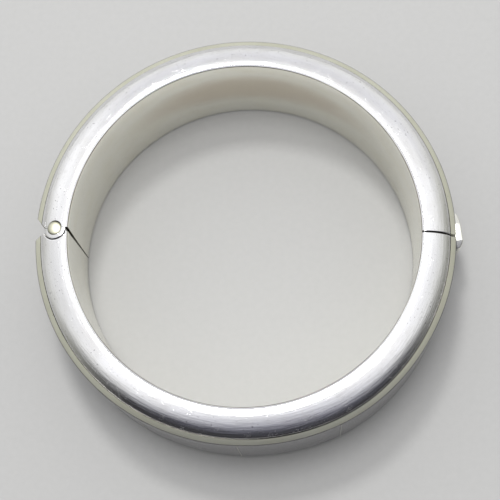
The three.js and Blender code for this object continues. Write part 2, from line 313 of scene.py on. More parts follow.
def edge_shell(name, half, top):
    t = np.linspace(0, 1, 40)
    radii = R_LIN + (R_EDGE - R_LIN) * np.sin(t * math.pi / 2)
    radii[0] = R_LIN + 0.02
    radii = list(radii) + [R_LIN + .045, R_LIN + .075, R_LIN + .11, R_EDGE - 0.0001]
    radii += [R_EDGE - SHEET - 0.001, R_EDGE - SHEET]
    if half.which == "back":
        radii += [abs(PIN[0]) + KN_R - k for k in (.004, .02, .06)] + [abs(PIN[0]) + KN_R + .008]
    else:
        radii += [abs(PIN[0]) + SOCKET - k for k in (.004, .02, .06)] + [abs(PIN[0]) + SOCKET + .01]
    radii = np.array(sorted(set(round(float(min(r, R_LIP)), 4) for r in radii)))
    A = half.angles(radii, True)
    n, m = A.shape
    R = np.broadcast_to(radii, A.shape)
    X, Y = R * np.cos(A), R * np.sin(A)
    d = half.dist(X, Y, **half.kw)
    if half.which == "front":
        X, Y = (R + bulge(A, R)) * np.cos(A), (R + bulge(A, R)) * np.sin(A)
    seed = {"back": 3, "front": 8}[half.which] + (0 if top else 50)
    Zt = dome_top(R) - round_off(d, 0.16) - round_off(R_LIP - R, 0.05)
    # the solder line against the inner wall is a fine groove, open in patches by the clasp and the hinge
    deg = np.degrees(A)
    patchy = np.exp(-((deg - 8) / 11) ** 2) + 0.8 * np.exp(-((np.abs(deg) - 176) / 9) ** 2) + 0.25 * np.exp(-((deg - 90) / 60) ** 2)
    g = np.clip(0.035 + 0.16 * patchy * np.clip(wobble(A, seed, 8, 20, 90), -0.1, 1), 0.03, 0.17)
    Zt = Zt - np.where(R < R_LIN + 0.13, round_off(R - R_LIN - 0.02, 0.11) * g / 0.11, 0)
    # hand-finished surface: very low, long waves
    Zt = Zt + 0.006 * wobble(A, seed + 1, 8, 3, 30) * np.clip((R - R_LIN) / 1.2, 0, 1)
    Zb = np.minimum(dome_under(R), Zt - 0.02)
    zt, zb = (Zt, Zb) if top else (WIDTH - Zt, WIDTH - Zb)
    v = np.vstack([np.stack([X, Y, zt], -1).reshape(-1, 3), np.stack([X, Y, zb], -1).reshape(-1, 3)])
    o = n * m
    f = []
    for i in range(n - 1):
        for j in range(m - 1):
            a, b, c, e = i * m + j, i * m + j + 1, (i + 1) * m + j + 1, (i + 1) * m + j
            f.append((a, b, c, e))
            f.append((o + a, o + e, o + c, o + b))
        for j in (0, m - 1):
            a, e = i * m + j, (i + 1) * m + j
            f.append((a, e, o + e, o + a) if j == 0 else (a, o + a, o + e, e))
    for i in (0, n - 1):
        for j in range(m - 1):
            a, b = i * m + j, i * m + j + 1
            f.append((a, o + a, o + b, b) if i == 0 else (a, b, o + b, o + a))
    return link(name, v, f, 32)


# ------------------------------------------------------------------ closed sections swept round the ring
def densify(prof, step):
    out = []
    for (a, b) in zip(prof, prof[1:] + prof[:1]):
        a, b = np.array(a, float), np.array(b, float)
        k = max(1, int(np.linalg.norm(b - a) / step))
        out += [tuple(a + (b - a) * q / k) for q in range(k)]
    return out


def sweep(name, half, prof, bev=0.07, extra=(), shape=None, smooth=32, step=0.75):
    """prof: closed convex outline of (r, z), in order. shape(A, R, Z) may move the section."""
    P = np.array(prof, float)
    m = len(P)
    nx, pv = np.roll(P, -1, 0), np.roll(P, 1, 0)
    area = 0.5 * np.sum(P[:, 0] * nx[:, 1] - nx[:, 0] * P[:, 1])
    tang = (nx - P) / np.linalg.norm(nx - P, axis=1)[:, None] + (P - pv) / np.linalg.norm(P - pv, axis=1)[:, None]
    tang /= np.linalg.norm(tang, axis=1)[:, None]
    inward = np.stack([-tang[:, 1], tang[:, 0]], 1) * (1 if area > 0 else -1)
    A = half.angles(P[:, 0], False, extra, step)
    n = len(A)
    R = np.broadcast_to(P[:, 0], A.shape).copy()
    Z = np.broadcast_to(P[:, 1], A.shape).copy()
    d = half.dist(R * np.cos(A), R * np.sin(A), **half.kw0)
    k = round_off(d, bev)
    R += k * inward[:, 0]
    Z += k * inward[:, 1]
    if shape is not None:
        R, Z, A = shape(A, R, Z)
    v = np.stack([R * np.cos(A), R * np.sin(A), Z], -1).reshape(-1, 3)
    f = []
    for i in range(n - 1):
        for j in range(m):
            j2 = (j + 1) % m
            f.append((i * m + j, i * m + j2, (i + 1) * m + j2, (i + 1) * m + j))
    f.append(tuple(range(m)))
    f.append(tuple((n - 1) * m + j for j in range(m))[::-1])
    return link(name, v, f, smooth)


def arc_corner(cr, cz, r, a0, a1, k=5):
    return [(cr + r * math.cos(math.radians(a)), cz + r * math.sin(math.radians(a))) for a in np.linspace(a0, a1, k)]


def liner(name, half):
    b = 0.11
    # the rim leans in towards the wrist opening
    rim = [(R_IN, .30), (R_IN + .01, .22), (R_IN + .03, .165), (R_IN + .07, .13), (R_IN + .14, .10), (R_IN + .26, .05), (R_LIN - .04, .01)]
    prof = rim + [(R_LIN, .03), (R_LIN, WIDTH - .03)] + [(q, WIDTH - z) for q, z in rim[::-1]]
    prof = densify(prof, 1.6)
    s = 1 if half.which == "back" else -1

    def shape(A, R, Z):
        # worn, very slightly uneven wall; the hinge seam gapes a little above mid-height
        inner = np.clip((R_LIN - R) / 0.3, 0, 1)
        R = R + inner * (0.016 * wobble(A, 11 if s > 0 else 12, 8, 3, 26) + 0.008 * np.sin(Z * 0.45 + 3 * A))
        if s < 0:
            near = np.clip((np.abs(A) - math.radians(176)) / math.radians(4), 0, 1) ** 2
            gape = 0.05 + 0.50 * np.clip(Z / 17.5, 0, 1) ** 1.4
            A = A + near * gape / 30.0
        return R, Z, A

    return sweep(name, half, prof, bev=0.07, shape=shape)


# panel lines scored across the raised band, a 28 degree pitch centred on each half
PANELS = [(k * 28.0) for k in range(-2, 3)]


def band(name, half):
    c, top = 0.34, BAND_Z1
    slope, rc = math.radians(27), 0.20
    edge_r = R_BAND - rc + rc * math.sin(slope)
    drop = (edge_r - R_EDGE - .05) * math.tan(slope)
    half_prof = [(R_EDGE + .02, top - .05), (R_EDGE + .05, top)]
    half_prof += arc_corner(R_BAND - rc, top - drop - rc * math.cos(slope), rc, 63, 0, 6)
    prof = half_prof + [(r, WIDTH - z) for r, z in half_prof[::-1]]
    prof = densify(prof, 0.8)
    s = 1 if half.which == "back" else -1
    lines = [math.radians(s * 90 + p) for p in PANELS]
    extra = []
    for a in lines:
        extra += [a + k / R_BAND for k in (-.16, -.11, -.085, -.06, -.03, 0, .03, .06, .085, .11, .16)]

    def shape(A, R, Z):
        face = np.clip((R - (R_BAND - 0.10)) / 0.08, 0, 1)
        for a in lines:
            x = (A - a) * R_BAND
            # a fine raised rib between two scored lines
            R = R + face * (0.055 * np.exp(-(x / 0.045) ** 2) - 0.03 * np.exp(-((np.abs(x) - 0.10) / 0.03) ** 2))
        R = R + face * 0.012 * wobble(A, 31 if s > 0 else 32, 8, 3, 40)
        if s < 0:
            R = R + bulge(A, R)
        return R, Z, A

    ob = sweep(name, half, prof, bev=0.10, extra=extra, shape=shape, smooth=30)
    return ob


def build_all():
    made = {}
    for half in (BACK, FRONT):
        w = half.which
        body = w + "_half"
        for which, top in (("top", True), ("bottom", False)):
            ob = edge_shell(f"{w}_domed_edge_{which}", half, top)
            if w == "back":
                cut(ob, *drum_mesh(PIN[0], PIN[1], BORE, -1, WIDTH + 1, 96), smooth=32)
            made[ob.name] = (ob, body, f"{w}_edge_shell_{which}")
        made[f"{w}_inner_wall"] = (liner(f"{w}_inner_wall", half), body, f"{w}_liner")
        made[f"{w}_raised_band"] = (band(f"{w}_raised_band", half), body, f"{w}_band")
        prof = [(R_EDGE - SHEET, WIDTH - SEAM_Z), (R_EDGE - .01, WIDTH - SEAM_Z), (R_EDGE - .01, SEAM_Z), (R_EDGE - SHEET, SEAM_Z)]
        made[f"{w}_hidden_wall"] = (sweep(f"{w}_hidden_wall", half, densify(prof, 0.8), bev=0.03), body, f"{w}_outer_wall")
    for name in ("back_raised_band", "back_hidden_wall"):
        cut(made[name][0], *box_mesh(32.93, 38.4, -1.83, 3.46 + CLASP, 8.77, 11.23), smooth=30, tolerant=True)
    return made


def thumb_shape():
    """faceted push piece, outline read from its CAD node's box"""
    lo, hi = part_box("thumb_piece")
    x0, x1 = lo.x * 1000 - CX, hi.x * 1000 - CX
    y0, y1, z0, z1 = lo.y * 1000, hi.y * 1000, lo.z * 1000, hi.z * 1000
    zc, hz = (z0 + z1) / 2, (z1 - z0) / 2
    # stations along the bracelet: y, inner x, outer x of the flat top, outer x of the face, half height
    st = [
        (y0, x1 - 0.90, x1 - 0.66, x1 - 0.46, hz - 0.68),
        (y0 + 0.32, x1 - 1.04, x1 - 0.40, x1 - 0.22, hz - 0.52),
        (y0 + 0.72, x1 - 1.10, x1 - 0.20, x1 - 0.04, hz - 0.32),
        (y0 + 1.00, x1 - 1.125, x1 - 0.10, x1 + 0.03, hz - 0.18),
        (y0 + 1.37, x1 - 1.16, x1 - 0.06, x1 + 0.07, hz),
        (y0 + 3.92, x1 - 1.43, x1 - 0.42, x1 - 0.28, hz),
        (y0 + 4.40, x1 - 1.50, x1 - 0.52, x1 - 0.38, hz - 0.015),
        (y0 + 5.97, x1 - 1.72, x1 - 0.84, x1 - 0.66, hz - 0.85),
        (y1, x1 - 1.74, x1 - 1.12, x1 - 0.96, hz - 1.05),
    ]
    v, f = [], []
    for y, xi, xt, xo, h in st:
        hb = h - 0.14
        v += [(xi, y, zc - h), (xt, y, zc - h), (xo, y, zc - hb), (xo, y, zc + hb), (xt, y, zc + h), (xi, y, zc + h)]
    for i in range(len(st) - 1):
        for j in range(6):
            j2 = (j + 1) % 6
            f.append((i * 6 + j, i * 6 + j2, (i + 1) * 6 + j2, (i + 1) * 6 + j))
    f.append(tuple(range(6))[::-1])
    f.append(tuple((len(st) - 1) * 6 + j for j in range(6)))
    ob = link("thumb_push_piece", v, f)
    m = ob.modifiers.new("bevel", "BEVEL")
    m.width = 0.05 * MM
    m.segments = 3
    m.limit_method = "ANGLE"
    m.angle_limit = math.radians(9)
    apply_modifiers(ob)
    for p in ob.data.polygons:
        p.use_smooth = True
    ob.data.set_sharp_from_angle(angle=math.radians(40))
    return ob


def strip(name, path, thick, z0, z1, bev=0.05):
    """flat strip of constant thickness that follows a plan path"""
    P = np.array(path, float)
    T = np.gradient(P, axis=0)
    T /= np.linalg.norm(T, axis=1)[:, None]
    N = np.stack([-T[:, 1], T[:, 0]], 1)
    a, b = P + N * thick / 2, P - N * thick / 2
    v, f = [], []
    for i in range(len(P)):
        v += [(a[i][0], a[i][1], z0), (b[i][0], b[i][1], z0), (b[i][0], b[i][1], z1), (a[i][0], a[i][1], z1)]
    for i in range(len(P) - 1):
        for j in range(4):
            j2 = (j + 1) % 4
            f.append((i * 4 + j, i * 4 + j2, (i + 1) * 4 + j2, (i + 1) * 4 + j))
    f += [(3, 2, 1, 0), tuple((len(P) - 1) * 4 + j for j in range(4))]
    ob = link(name, v, f)
    m = ob.modifiers.new("bevel", "BEVEL")
    m.width = bev * MM
    m.segments = 2
    m.limit_method = "ANGLE"
    m.angle_limit = math.radians(50)
    apply_modifiers(ob)
    for p in ob.data.polygons:
        p.use_smooth = True
    ob.data.set_sharp_from_angle(angle=math.radians(35))
    return ob


# ------------------------------------------------------------------ silver
def silver(name, color, rough, streak=0.5, scratch=0.5, tint=(0.62, 0.60, 0.55), tarnish=0.15, fine=1.0, seed=0.0, ring=True, brush=0.0, wide=0.0, face=None, speck=0.0, painted_floor_reflection=None,
           lip=None, inner_rim=False):
    """Polished or satin sterling silver: hairlines that run round the bracelet, stray scratches, faint cloudy tarnish,
    and where asked painted shade in the seams, along the dome's lip and on the band's outer face and a painted
    reflection on the back wall, all from the object's own coordinates in millimetres."""
    mat = bpy.data.materials.new(name)
    mat.use_nodes = True
    nt = mat.node_tree
    N, L = nt.nodes, nt.links
    bsdf = N["Principled BSDF"]
    bsdf.inputs["Metallic"].default_value = 1.0
    bsdf.inputs["IOR"].default_value = 1.45

    def math_node(op, a, b=None, c=None):
        n = N.new("ShaderNodeMath")
        n.operation = op
        for i, x in enumerate((a, b, c)):
            if x is None:
                continue
            if isinstance(x, (int, float)):
                n.inputs[i].default_value = x
            else:
                L.new(x, n.inputs[i])
        return n.outputs[0]

    tc = N.new("ShaderNodeTexCoord")
    sep = N.new("ShaderNodeSeparateXYZ")
    L.new(tc.outputs["Object"], sep.inputs[0])
    x = math_node("SUBTRACT", math_node("MULTIPLY", sep.outputs[0], 1000.0), CX)
    y = math_node("MULTIPLY", sep.outputs[1], 1000.0)
    z = math_node("MULTIPLY", sep.outputs[2], 1000.0)
    comb = N.new("ShaderNodeCombineXYZ")
    if ring:
        ang = math_node("ARCTAN2", y, x)
        r = math_node("SQRT", math_node("ADD", math_node("MULTIPLY", x, x), math_node("MULTIPLY", y, y)))
        L.new(math_node("MULTIPLY", ang, 33.0), comb.inputs[0])
        L.new(r, comb.inputs[1])
        # radius with the front half's fuller side taken out
        q = math_node("DIVIDE", math_node("ADD", ang, math.radians(55)), math.radians(20))
        rm = math_node("SUBTRACT", r, math_node("MULTIPLY", math_node("POWER", math.e, math_node("MULTIPLY", math_node("MULTIPLY", q, q), -1.0)), 0.36))
    else:
        L.new(x, comb.inputs[0])
        L.new(y, comb.inputs[1])
    L.new(z, comb.inputs[2])
    vec = comb.outputs[0]

    def mapped(scale, off=0.0, rot=0.0, src=None):
        m = N.new("ShaderNodeMapping")
        m.inputs["Scale"].default_value = scale
        m.inputs["Location"].default_value = (off + seed, off * 0.7, seed * 1.3)
        m.inputs["Rotation"].default_value = (0, 0, rot)
        L.new(src or vec, m.inputs["Vector"])
        return m.outputs[0]

    def noise(v, scale, detail=3.0, rough_=0.55, dist=0.0):
        n = N.new("ShaderNodeTexNoise")
        n.inputs["Scale"].default_value = scale
        n.inputs["Detail"].default_value = detail
        n.inputs["Roughness"].default_value = rough_
        n.inputs["Distortion"].default_value = dist
        L.new(v, n.inputs["Vector"])
        return n.outputs["Fac"]

    def ramp(src, lo, hi, a=0.0, b=1.0):
        n = N.new("ShaderNodeMapRange")
        n.interpolation_type = "SMOOTHSTEP"
        n.inputs["From Min"].default_value = lo
        n.inputs["From Max"].default_value = hi
        n.inputs["To Min"].default_value = a
        n.inputs["To Max"].default_value = b
        L.new(src, n.inputs["Value"])
        return n.outputs[0]

    hair = noise(mapped((0.16, 5.5, 5.5), 1.7), 1.0, 4.0, 0.62)             # long satin hairlines
    hair2 = noise(mapped((0.5, 16.0, 16.0), 5.1), 1.0, 3.0, 0.6)           # finer ones
    grain = noise(mapped((9.0, 14.0, 14.0), 3.3), 1.0, 2.0, 0.6)           # fine handling marks
    cloud = noise(mapped((0.16, 0.30, 0.30), 8.8), 1.0, 4.0, 0.6)          # cloudy tarnish
    swath = noise(mapped((0.28, 2.3, 2.3), 12.9), 1.0, 3.0, 0.55)          # strokes left by the polishing cloth
    dot = ramp(noise(mapped((3.1, 3.1, 3.1), 9.2), 1.0, 1.0), 0.70, 0.76)  # tiny pits
    # stray scratches: thin contour lines of two stretched noises at different slants
    s1 = noise(mapped((0.45, 0.9, 0.9), 2.2, 0.5), 1.0, 1.5, 0.5, 0.4)
    s2 = noise(mapped((0.9, 0.5, 0.8), 7.4, -0.6), 1.0, 1.5, 0.5, 0.6)
    l1 = ramp(math_node("ABSOLUTE", math_node("SUBTRACT", s1, 0.5)), 0.0, 0.006, 1.0, 0.0)
    l2 = ramp(math_node("ABSOLUTE", math_node("SUBTRACT", s2, 0.47)), 0.0, 0.005, 1.0, 0.0)
    gate = ramp(noise(mapped((0.7, 0.7, 0.7), 6.1), 1.0, 2.0), 0.52, 0.62)
    scr = math_node("MULTIPLY", math_node("MAXIMUM", l1, l2), gate)

    # colour
    mix = N.new("ShaderNodeMix")
    mix.data_type = "RGBA"
    mix.inputs["A"].default_value = (*color, 1)
    mix.inputs["B"].default_value = (*tint, 1)
    L.new(math_node("MULTIPLY", ramp(cloud, 0.38, 0.72), tarnish), mix.inputs["Factor"])
    mix2 = N.new("ShaderNodeMix")
    mix2.data_type = "RGBA"
    L.new(mix.outputs["Result"], mix2.inputs["A"])
    mix2.inputs["B"].default_value = (color[0] * 0.55, color[1] * 0.55, color[2] * 0.54, 1)
    L.new(math_node("MULTIPLY", scr, 0.35 * scratch), mix2.inputs["Factor"])
    base = mix2.outputs["Result"]
    if speck:
        mix3 = N.new("ShaderNodeMix")
        mix3.data_type = "RGBA"
        L.new(base, mix3.inputs["A"])
        mix3.inputs["B"].default_value = (color[0] * 0.40, color[1] * 0.39, color[2] * 0.40, 1)
        L.new(math_node("MULTIPLY", dot, speck), mix3.inputs["Factor"])
        base = mix3.outputs["Result"]
    if painted_floor_reflection:
        # painted reflection: a brownish patch at mid-height inside the back wall, standing for the shaded floor that
        # the wall reflects there
        fa = math_node("DIVIDE", math_node("SUBTRACT", ang, math.pi / 2), 0.62)
        fz = math_node("DIVIDE", math_node("SUBTRACT", z, 10.8), 4.2)
        q = math_node("ADD", math_node("MULTIPLY", fa, fa), math_node("MULTIPLY", fz, fz))
        q = math_node("ADD", q, math_node("MULTIPLY", math_node("SUBTRACT", cloud, 0.5), 1.6))
        mix5 = N.new("ShaderNodeMix")
        mix5.data_type = "RGBA"
        L.new(base, mix5.inputs["A"])
        mix5.inputs["B"].default_value = (*painted_floor_reflection, 1)
        L.new(ramp(q, 0.0, 2.2, 0.85, 0.0), mix5.inputs["Factor"])
        base = mix5.outputs["Result"]
    def blend(under, over, fac):
        m = N.new("ShaderNodeMix")
        m.data_type = "RGBA"
        L.new(under, m.inputs["A"])
        if isinstance(over, tuple):
            m.inputs["B"].default_value = (*over, 1)
        else:
            L.new(over, m.inputs["B"])
        L.new(fac, m.inputs["Factor"])
        return m.outputs["Result"]

    if face:
        # painted shade: the outermost face is painted darker than the ledge above it, standing for the shadowed floor
        # it reflects; the scored ribs are left out of it and keep the ledge's colour
        painted_shade_face_mask = math_node("MULTIPLY", ramp(rm, R_BAND - 0.20, R_BAND - 0.03), ramp(rm, R_BAND + 0.025, R_BAND + 0.045, 1.0, 0.0))
        base = blend(base, face, math_node("MULTIPLY", painted_shade_face_mask, 0.96))
    if inner_rim:
        # the dome's sheet laps over the wall; painted shade: a fine dark line is painted along the rounded inner edge
        # of the rim, standing for the dark that edge reflects, and the rim top beyond it is set to a plain neutral
        # silver
        high = ramp(math_node("MAXIMUM", z, math_node("SUBTRACT", WIDTH, z)), WIDTH - 0.24, WIDTH - 0.17)
        line = blend(base, (0.20, 0.185, 0.16), math_node("MULTIPLY", ramp(cloud, 0.25, 0.60, 0.55, 0.95), high))
        base = blend(line, (0.93, 0.93, 0.94), math_node("MULTIPLY", high, ramp(r, R_IN + 0.10, R_IN + 0.17)))
    # painted shade: a dark band along the seam where the domed edge meets the raised band, on the dome's outer lip and
    # the band's inner edge
    if lip:
        base = blend(base, (0.11, 0.105, 0.095), math_node("MULTIPLY", ramp(rm, lip[0], lip[1]), 0.92))
    if ring:
        # painted shade: the seam gap at the clasp and the seam down the wall at the hinge are painted dark, where shade
        # falls between the halves
        gap = math_node("MULTIPLY", ramp(math_node("ABSOLUTE", math_node("SUBTRACT", y, CLASP - 0.03)), 0.21, 0.15), ramp(x, 20.0, 21.0))
        gap2 = math_node("MULTIPLY", ramp(math_node("ABSOLUTE", math_node("SUBTRACT", y, 0.05)), 0.07, 0.03), ramp(x, -29.0, -29.2))
        if inner_rim:
            gap = math_node("MULTIPLY", gap, ramp(r, R_IN + 0.06, R_IN + 0.16))
        base = blend(base, (0.10, 0.09, 0.08), math_node("MULTIPLY", math_node("MAXIMUM", gap, gap2), 0.9))
    L.new(base, bsdf.inputs["Base Color"])

    # roughness
    rr = math_node("ADD", rough, math_node("MULTIPLY", math_node("SUBTRACT", hair, 0.5), 0.30 * streak))
    rr = math_node("ADD", rr, math_node("MULTIPLY", math_node("SUBTRACT", cloud, 0.5), 0.16))
    rr = math_node("ADD", rr, math_node("MULTIPLY", scr, 0.12 * scratch))
    if face:
        rr = math_node("SUBTRACT", rr, math_node("MULTIPLY", painted_shade_face_mask, 0.27))
    rr = math_node("MAXIMUM", rr, 0.04)
    L.new(rr, bsdf.inputs["Roughness"])

    # relief
    h = math_node("MULTIPLY", hair, 1.0 * streak)
    h = math_node("ADD", h, math_node("MULTIPLY", hair2, 0.35 * streak))
    h = math_node("ADD", h, math_node("MULTIPLY", grain, 0.10 * fine))
    h = math_node("SUBTRACT", h, math_node("MULTIPLY", scr, 0.5 * scratch))
    if wide:
        h = math_node("ADD", h, math_node("MULTIPLY", swath, 2.0 * wide))
    bump = N.new("ShaderNodeBump")
    bump.inputs["Strength"].default_value = 1.0
    bump.inputs["Distance"].default_value = 0.006 * MM
    L.new(h, bump.inputs["Height"])
    L.new(bump.outputs[0], bsdf.inputs["Normal"])
    if brush:
        # the brushing runs round the ring, so gloss spreads across it
        tan = N.new("ShaderNodeCombineXYZ")
        L.new(math_node("MULTIPLY", y, -1.0), tan.inputs[0])
        L.new(x, tan.inputs[1])
        vt = N.new("ShaderNodeVectorTransform")
        vt.vector_type = "VECTOR"
        vt.convert_from, vt.convert_to = "OBJECT", "WORLD"
        L.new(tan.outputs[0], vt.inputs[0])
        nrm = N.new("ShaderNodeVectorMath")
        nrm.operation = "NORMALIZE"
        L.new(vt.outputs[0], nrm.inputs[0])
        L.new(nrm.outputs[0], bsdf.inputs["Tangent"])
        bsdf.inputs["Anisotropic"].default_value = brush
    return mat


def paint(ob, mat):
    ob.data.materials.clear()
    ob.data.materials.append(mat)


# the lip settings here and on the band paint shade along the seam between the domed edge and the raised band
EDGE = silver("silver_domed_edge", (0.93, 0.93, 0.94), 0.15, streak=1.5, scratch=1.6, tarnish=0.22, seed=1.0, brush=0.4, wide=2.2, speck=0.8,
              lip=(R_LIP - 0.05, R_LIP - 0.012))
# the wall's brownish patch at mid-height is a painted reflection of the shaded floor
LINER = silver("silver_satin_wall", (0.975, 0.965, 0.875), 0.14, streak=0.8, scratch=0.6, tint=(0.93, 0.90, 0.76), tarnish=0.6, seed=4.0, brush=0.2,
               wide=0.5, speck=0.4, painted_floor_reflection=(0.76, 0.68, 0.55), inner_rim=True)
# the band's face colour is painted shade on its outer face
BAND = silver("silver_raised_band", (0.77, 0.77, 0.65), 0.50, streak=0.8, scratch=0.6, tint=(0.64, 0.64, 0.51), tarnish=0.4, seed=9.0, brush=0.6,
              wide=0.5, face=(0.255, 0.250, 0.264), speck=0.3, lip=(R_EDGE + 0.10, R_EDGE + 0.045))
PINM = silver("silver_pin_end", (0.42, 0.415, 0.335), 0.44, streak=0.3, scratch=0.8, tint=(0.30, 0.295, 0.20), tarnish=0.9, seed=14.0, ring=False)
THUMB = silver("silver_thumb_piece", (0.93, 0.93, 0.86), 0.15, streak=0.25, scratch=0.8, tarnish=0.2, seed=19.0, ring=False, wide=0.3)
# painted shade: the hidden walls, end plates and catch box get a dark silver so the seams they sit behind look like
# shadowed gaps
INNER = silver("silver_inside", (0.42, 0.40, 0.36), 0.42, streak=0.5, scratch=0.4, tint=(0.40, 0.37, 0.32), tarnish=0.5, seed=23.0)
SPRING = silver("silver_spring_strip", (0.82, 0.81, 0.77), 0.26, streak=0.9, scratch=0.6, tint=(0.55, 0.51, 0.42), tarnish=0.3, seed=29.0, ring=False)

# ------------------------------------------------------------------ the pieces
made = build_all()
for name, (ob, body, node) in made.items():
    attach(ob, body)
    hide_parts(node)
    if "domed" in name:
        paint(ob, EDGE)
    elif "hidden" in name:
        paint(ob, INNER)
    elif "wall" in name:
        paint(ob, LINER)
    else:
        paint(ob, BAND)

r = BORE - 0.05
_end = [(0, .27), (.30, .279), (.60, .308), (.90, .36), (1.06, .405), (1.15, .46), (1.19, .54), (r, .80)]
pin = lathe("pin_shaft_and_ends", _end + [(q, WIDTH - z) for q, z in _end[::-1]], PIN[0], PIN[1], 72, 30)
paint(pin, PINM)
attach(pin, "back_half")
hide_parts("hinge_pin")

for node, body in (("hinge_knuckle_top", "back_half"), ("hinge_knuckle_bottom", "back_half"), ("hinge_knuckle_middle", "front_half")):
    lo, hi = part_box(node)
    z0, z1 = lo.z * 1000, hi.z * 1000
    if node == "hinge_knuckle_middle":
        ob = tube("barrel_middle", BORE, KN_R, z0, z1, PIN[0], PIN[1])
    else:
        # the end barrels stop just under the domed sheet, cut to its slope
        zc = WIDTH - z0 if node.endswith("top") else z1
        top = node.endswith("top")
        n = 96
        v, f = [], []
        for k in range(n):
            a = 2 * math.pi * k / n
            c, s = math.cos(a), math.sin(a)
            for rad, zz in ((BORE, None), (BORE + .05, 0), (KN_R - .06, 0), (KN_R - .02, .02), (KN_R, .06), (KN_R, None)):
                px, py = PIN[0] + rad * c, PIN[1] + rad * s
                if zz is None:
                    rr = math.hypot(px, py)
                    zz_ = float(dome_under(np.array(rr))) - 0.03
                    zz_ = max(min(zz_, WIDTH - 0.55), z0 + 0.3 if top else WIDTH - z1 + 0.3)
                else:
                    zz_ = (z0 if top else WIDTH - z1) + zz
                v.append((px, py, zz_ if top else WIDTH - zz_))
        for k in range(n):
            k2 = (k + 1) % n
            for j in range(6):
                j2 = (j + 1) % 6
                f.append((k * 6 + j, k * 6 + j2, k2 * 6 + j2, k2 * 6 + j))
        ob = link("barrel_" + ("top" if top else "bottom"), v, f, 35)
    paint(ob, EDGE)
    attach(ob, body)
    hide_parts(node)

thumb = thumb_shape()
paint(thumb, THUMB)
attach(thumb, "latch_spring")
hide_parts("thumb_piece")

# spring leaf: a strip that leans outward from its fold
j = next(j for j in frame["joints"] if j["name"] == "thumb_press")
FX, FY = j["pos_m"][0] * 1000 - CX, j["pos_m"][1] * 1000
lo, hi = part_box("tongue_spring_leaf")
TZ0, TZ1 = lo.z * 1000, hi.z * 1000
lean = math.atan2(33.05 - 31.95, 8.40 - CLASP - 0.75)
TIP_Y = lo.y * 1000 + 0.04
tip = np.array([FX + (FY - TIP_Y) * math.tan(lean) + 0.177, TIP_Y])
path = [tuple(tip + (np.array([FX + 0.21, FY]) - tip) * k / 16) for k in range(17)]
path += [(FX + 0.0 + 0.21 * math.cos(a), FY + 0.21 * math.sin(a)) for a in np.linspace(0.25, math.pi * 0.93, 12)]
leaf = strip("spring_leaf", path, 0.34, TZ0, TZ1)
paint(leaf, SPRING)
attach(leaf, "latch_spring")
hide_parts("tongue_spring_leaf")
lo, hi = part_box("tongue_base_leaf")
bx = (lo.x + hi.x) * 500 - CX
by0, by1 = lo.y * 1000, hi.y * 1000
leaf2 = strip("base_leaf", [(bx, by0 + (by1 - by0) * k / 12) for k in range(13)], 0.34, TZ0, TZ1)
paint(leaf2, SPRING)
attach(leaf2, "front_half")
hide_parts("tongue_base_leaf")

# CAD nodes that stay: their shapes are right, they get silver and softened edges
for n in ("back_clasp_end_plate", "front_clasp_end_plate", "back_hinge_end_plate", "front_hinge_end_plate", "catch_box",
          "thumb_piece_neck"):
    ob = nodes[n]
    paint(ob, SPRING if n == "thumb_piece_neck" else INNER)
    if n.endswith("clasp_end_plate") or n in ("catch_box", "thumb_piece_neck"):
        m = ob.modifiers.new("soften", "BEVEL")
        m.width = 0.04 * MM
        m.segments = 2
        m.limit_method = "ANGLE"
        m.angle_limit = math.radians(50)

# ------------------------------------------------------------------ floor, light, camera
def floor():
    me = bpy.data.meshes.new("floor")
    s = 3.0
    me.from_pydata([(-s, -s, 0), (s, -s, 0), (s, s, 0), (-s, s, 0)], [], [(0, 1, 2, 3)])
    ob = bpy.data.objects.new("floor", me)
    bpy.context.scene.collection.objects.link(ob)
    mat = bpy.data.materials.new("floor_pale")
    mat.use_nodes = True
    N, L = mat.node_tree.nodes, mat.node_tree.links
    b = N["Principled BSDF"]
    b.inputs["Roughness"].default_value = 0.7
    b.inputs["Specular IOR Level"].default_value = 0.25
    tc = N.new("ShaderNodeTexCoord")
    n1 = N.new("ShaderNodeTexNoise")
    n1.inputs["Scale"].default_value = 900.0
    n1.inputs["Detail"].default_value = 3.0
    L.new(tc.outputs["Object"], n1.inputs["Vector"])
    mr = N.new("ShaderNodeMapRange")
    mr.inputs["To Min"].default_value = 0.385
    mr.inputs["To Max"].default_value = 0.415
    L.new(n1.outputs["Fac"], mr.inputs["Value"])
    cb = N.new("ShaderNodeCombineColor")
    for k, g in enumerate((1.0, 1.0, 0.99)):
        m = N.new("ShaderNodeMath")
        m.operation = "MULTIPLY"
        m.inputs[1].default_value = g
        L.new(mr.outputs[0], m.inputs[0])
        L.new(m.outputs[0], cb.inputs[k])
    L.new(cb.outputs[0], b.inputs["Base Color"])
    me.materials.append(mat)
    return ob


floor()


def area(name, loc, target, size, power, color=(1, 1, 1), size_y=None):
    d = bpy.data.lights.new(name, "AREA")
    d.energy = power
    d.color = color
    if size_y:
        d.shape = "RECTANGLE"
        d.size, d.size_y = size, size_y
    else:
        d.shape = "DISK"
        d.size = size
    ob = bpy.data.objects.new(name, d)
    ob.location = loc
    ob.rotation_mode = "QUATERNION"
    ob.rotation_quaternion = (Vector(target) - Vector(loc)).to_track_quat("-Z", "Y")
    bpy.context.scene.collection.objects.link(ob)
    return ob


area("overhead_softbox", (-0.012, 0.046, 0.63), (0, 0, 0), 0.24, 1.85, (1.0, 0.995, 0.98))
area("rear_softbox", (-0.062, 0.232, 0.58), (0, 0, 0), 0.10, 1.45, (1.0, 0.995, 0.98))

